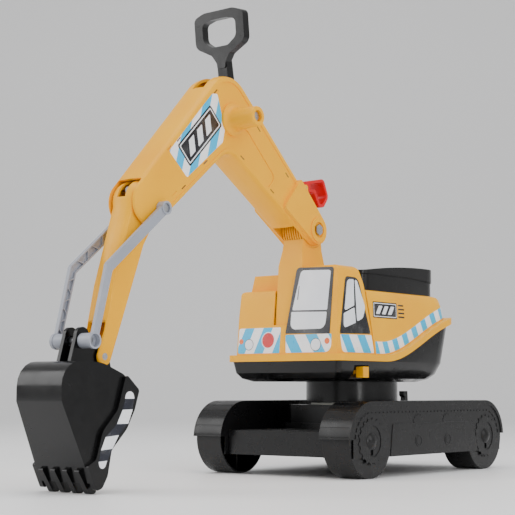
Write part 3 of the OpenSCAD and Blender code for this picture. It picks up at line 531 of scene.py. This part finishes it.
def windows():
    """Dark frames with pale panes, printed on the front and the side of the cab."""
    pieces = (
        ("windscreen_frame", cab_front, FRAME_LIFT, INK,
         [(1, 231, 2), (91, 229, 2), (96, 337, 5), (21, 339.5, 8)]),
        ("windscreen_upper", cab_front, PANE_LIFT, PANE,
         [(14, 269, 2), (84.5, 267.5, 2), (90, 332, 4), (30, 334.5, 8)]),
        ("windscreen_lower", cab_front, PANE_LIFT, PANE,
         [(11, 237.5, 10), (81, 237.5, 12), (84, 264.5, 2), (12.5, 266.5, 2)]),
        ("wiper", cab_front, WIPER_LIFT, INK,
         [(23.6, 286, 0.6), (25.4, 286, 0.6), (27.6, 309, 0.6), (26.4, 309, 0.6)]),
        ("door_frame", cab_side, FRAME_LIFT, INK,
         [(-190, 229, 2), (-102, 231, 2), (-135, 322, 16), (-171, 323, 8)]),
        ("door_pane_front", cab_side, PANE_LIFT, PANE,
         [(-176, 266, 3), (-148, 276, 2), (-147.5, 319, 3), (-166, 318, 9)]),
        ("door_pane_low", cab_side, PANE_LIFT, PANE,
         [(-179, 238, 5), (-144.5, 248, 2), (-147.5, 273, 2), (-178, 262, 3)]),
        ("door_pane_rear", cab_side, PANE_LIFT, PANE,
         [(-141, 250, 3), (-124, 256, 10), (-116, 274, 14), (-139, 318, 6), (-144.5, 318, 2)]))
    for name, face, lift, material, corners in pieces:
        steps = 2 if name == "wiper" else 6
        film(name, rounded(corners, steps), face, lift, material, "house")


def bucket_stickers():
    """Dark band with pale blocks along the lip of each side wall."""
    band = rounded([(-626, 128, 0), (-631, 111, 20), (-641, 94, 20), (-664, 75, 20), (-672, 58, 20),
                    (-675, 43, 0), (-660, 43, 0), (-650, 60, 20), (-637, 79, 20), (-620, 94, 20),
                    (-612, 112, 20), (-608, 128, 0)], 3)
    blocks = [rounded([(-626.5, 127, 0), (-608.5, 127, 0), (-610, 137, 8), (-624, 137, 8)]),
              rounded([(-641.5, 93, 0), (-620, 93, 0), (-611.5, 112.5, 0), (-631, 112, 0)]),
              rounded([(-671.5, 58.5, 0), (-650, 60, 0), (-638, 78, 0), (-663, 76, 0)]),
              rounded([(-675.5, 43.5, 0), (-674, 34, 7), (-664, 34, 7), (-660, 44.5, 0)])]
    for side, tag in SIDES:
        face = flat_side(side, BUCKET_LIP_X)
        film(f"lip_band_{tag}", band, face, PATCH_LIFT, NAVY, "bucket_body")
        for k, block in enumerate(blocks):
            film(f"lip_block_{tag}_{k}", block, face, BLOCK_LIFT, PALE, "bucket_body")


boom_stickers()
paint_slot_shade()
side_stickers()
front_stickers()
windows()
bucket_stickers()


# ---------------------------------------------------------------- stage


def sweep():
    """Floor that curves up into a backdrop far behind."""
    mesh = bpy.data.meshes.new("floor")
    bm = bmesh.new()
    near, far, bend, top, half_width = -6, 4, 2, 7, 9
    angles = [a / 8 * math.pi / 2 for a in range(1, 9)]
    rows = [(near, 0), (far, 0)]
    rows += [(far + bend * math.sin(t), bend - bend * math.cos(t)) for t in angles]
    rows += [(far + bend, top)]
    facing = Matrix.Rotation(math.radians(VIEW_TURN), 3, "Z")
    lines = [[bm.verts.new(facing @ Vector((x, y, z))) for x in (-half_width, half_width)] for y, z in rows]
    for a, b in zip(lines, lines[1:]):
        bm.faces.new((a[0], a[1], b[1], b[0]))
    bm.to_mesh(mesh)
    bm.free()
    for face in mesh.polygons:
        face.use_smooth = True
    obj = bpy.data.objects.new("floor", mesh)
    bpy.context.collection.objects.link(obj)
    n = Nodes("floor")
    n.link(n.mix(n.noise(2.0), colour(252, 252, 252), colour(249, 249, 250)), n.shader.inputs["Base Color"])
    n.put(n.shader, Roughness=0.45)
    mesh.materials.append(n.material)


def light(name, place, aim, size, watts):
    """Soft rectangular light; place, aim and size are in metres."""
    data = bpy.data.lights.new(name, "AREA")
    data.shape = "RECTANGLE"
    data.size, data.size_y = size
    data.energy = watts
    obj = bpy.data.objects.new(name, data)
    obj.location = place
    obj.rotation_euler = (Vector(aim) - Vector(place)).to_track_quat("-Z", "Y").to_euler()
    bpy.context.collection.objects.link(obj)


sweep()
light("top", (0.2, -0.4, 3.0), (0, 0, 0.3), (2.6, 2.6), 52)
light("left", (-2.2, -2.0, 1.6), (0, 0, 0.35), (1.6, 2.2), 40)
light("right", (2.6, 0.2, 1.5), (0, 0, 0.35), (1.4, 2.0), 18)
light("edge", (2.4, -1.4, 0.9), (0, 0.2, 0.1), (0.35, 1.8), 16)
world = bpy.data.worlds.new("studio")
world.use_nodes = True
world.node_tree.nodes["Background"].inputs[0].default_value = (1, 1, 1, 1)
world.node_tree.nodes["Background"].inputs[1].default_value = 0.68
bpy.context.scene.world = world

# Camera: level sideways, a little below the middle of the digger and looking slightly up
camera = bpy.data.cameras.new("camera")
camera.sensor_width = 36
camera.lens = 94.93
rig = bpy.data.objects.new("camera", camera)
rig.location = at(1366, -1968, 139)
rig.rotation_mode = "QUATERNION"
turn, rise = math.radians(VIEW_TURN), math.radians(VIEW_RISE)
ahead = Vector((-math.sin(turn) * math.cos(rise), math.cos(turn) * math.cos(rise), math.sin(rise)))
rig.rotation_quaternion = ahead.to_track_quat("-Z", "Y")
bpy.context.collection.objects.link(rig)
bpy.context.scene.camera = rig
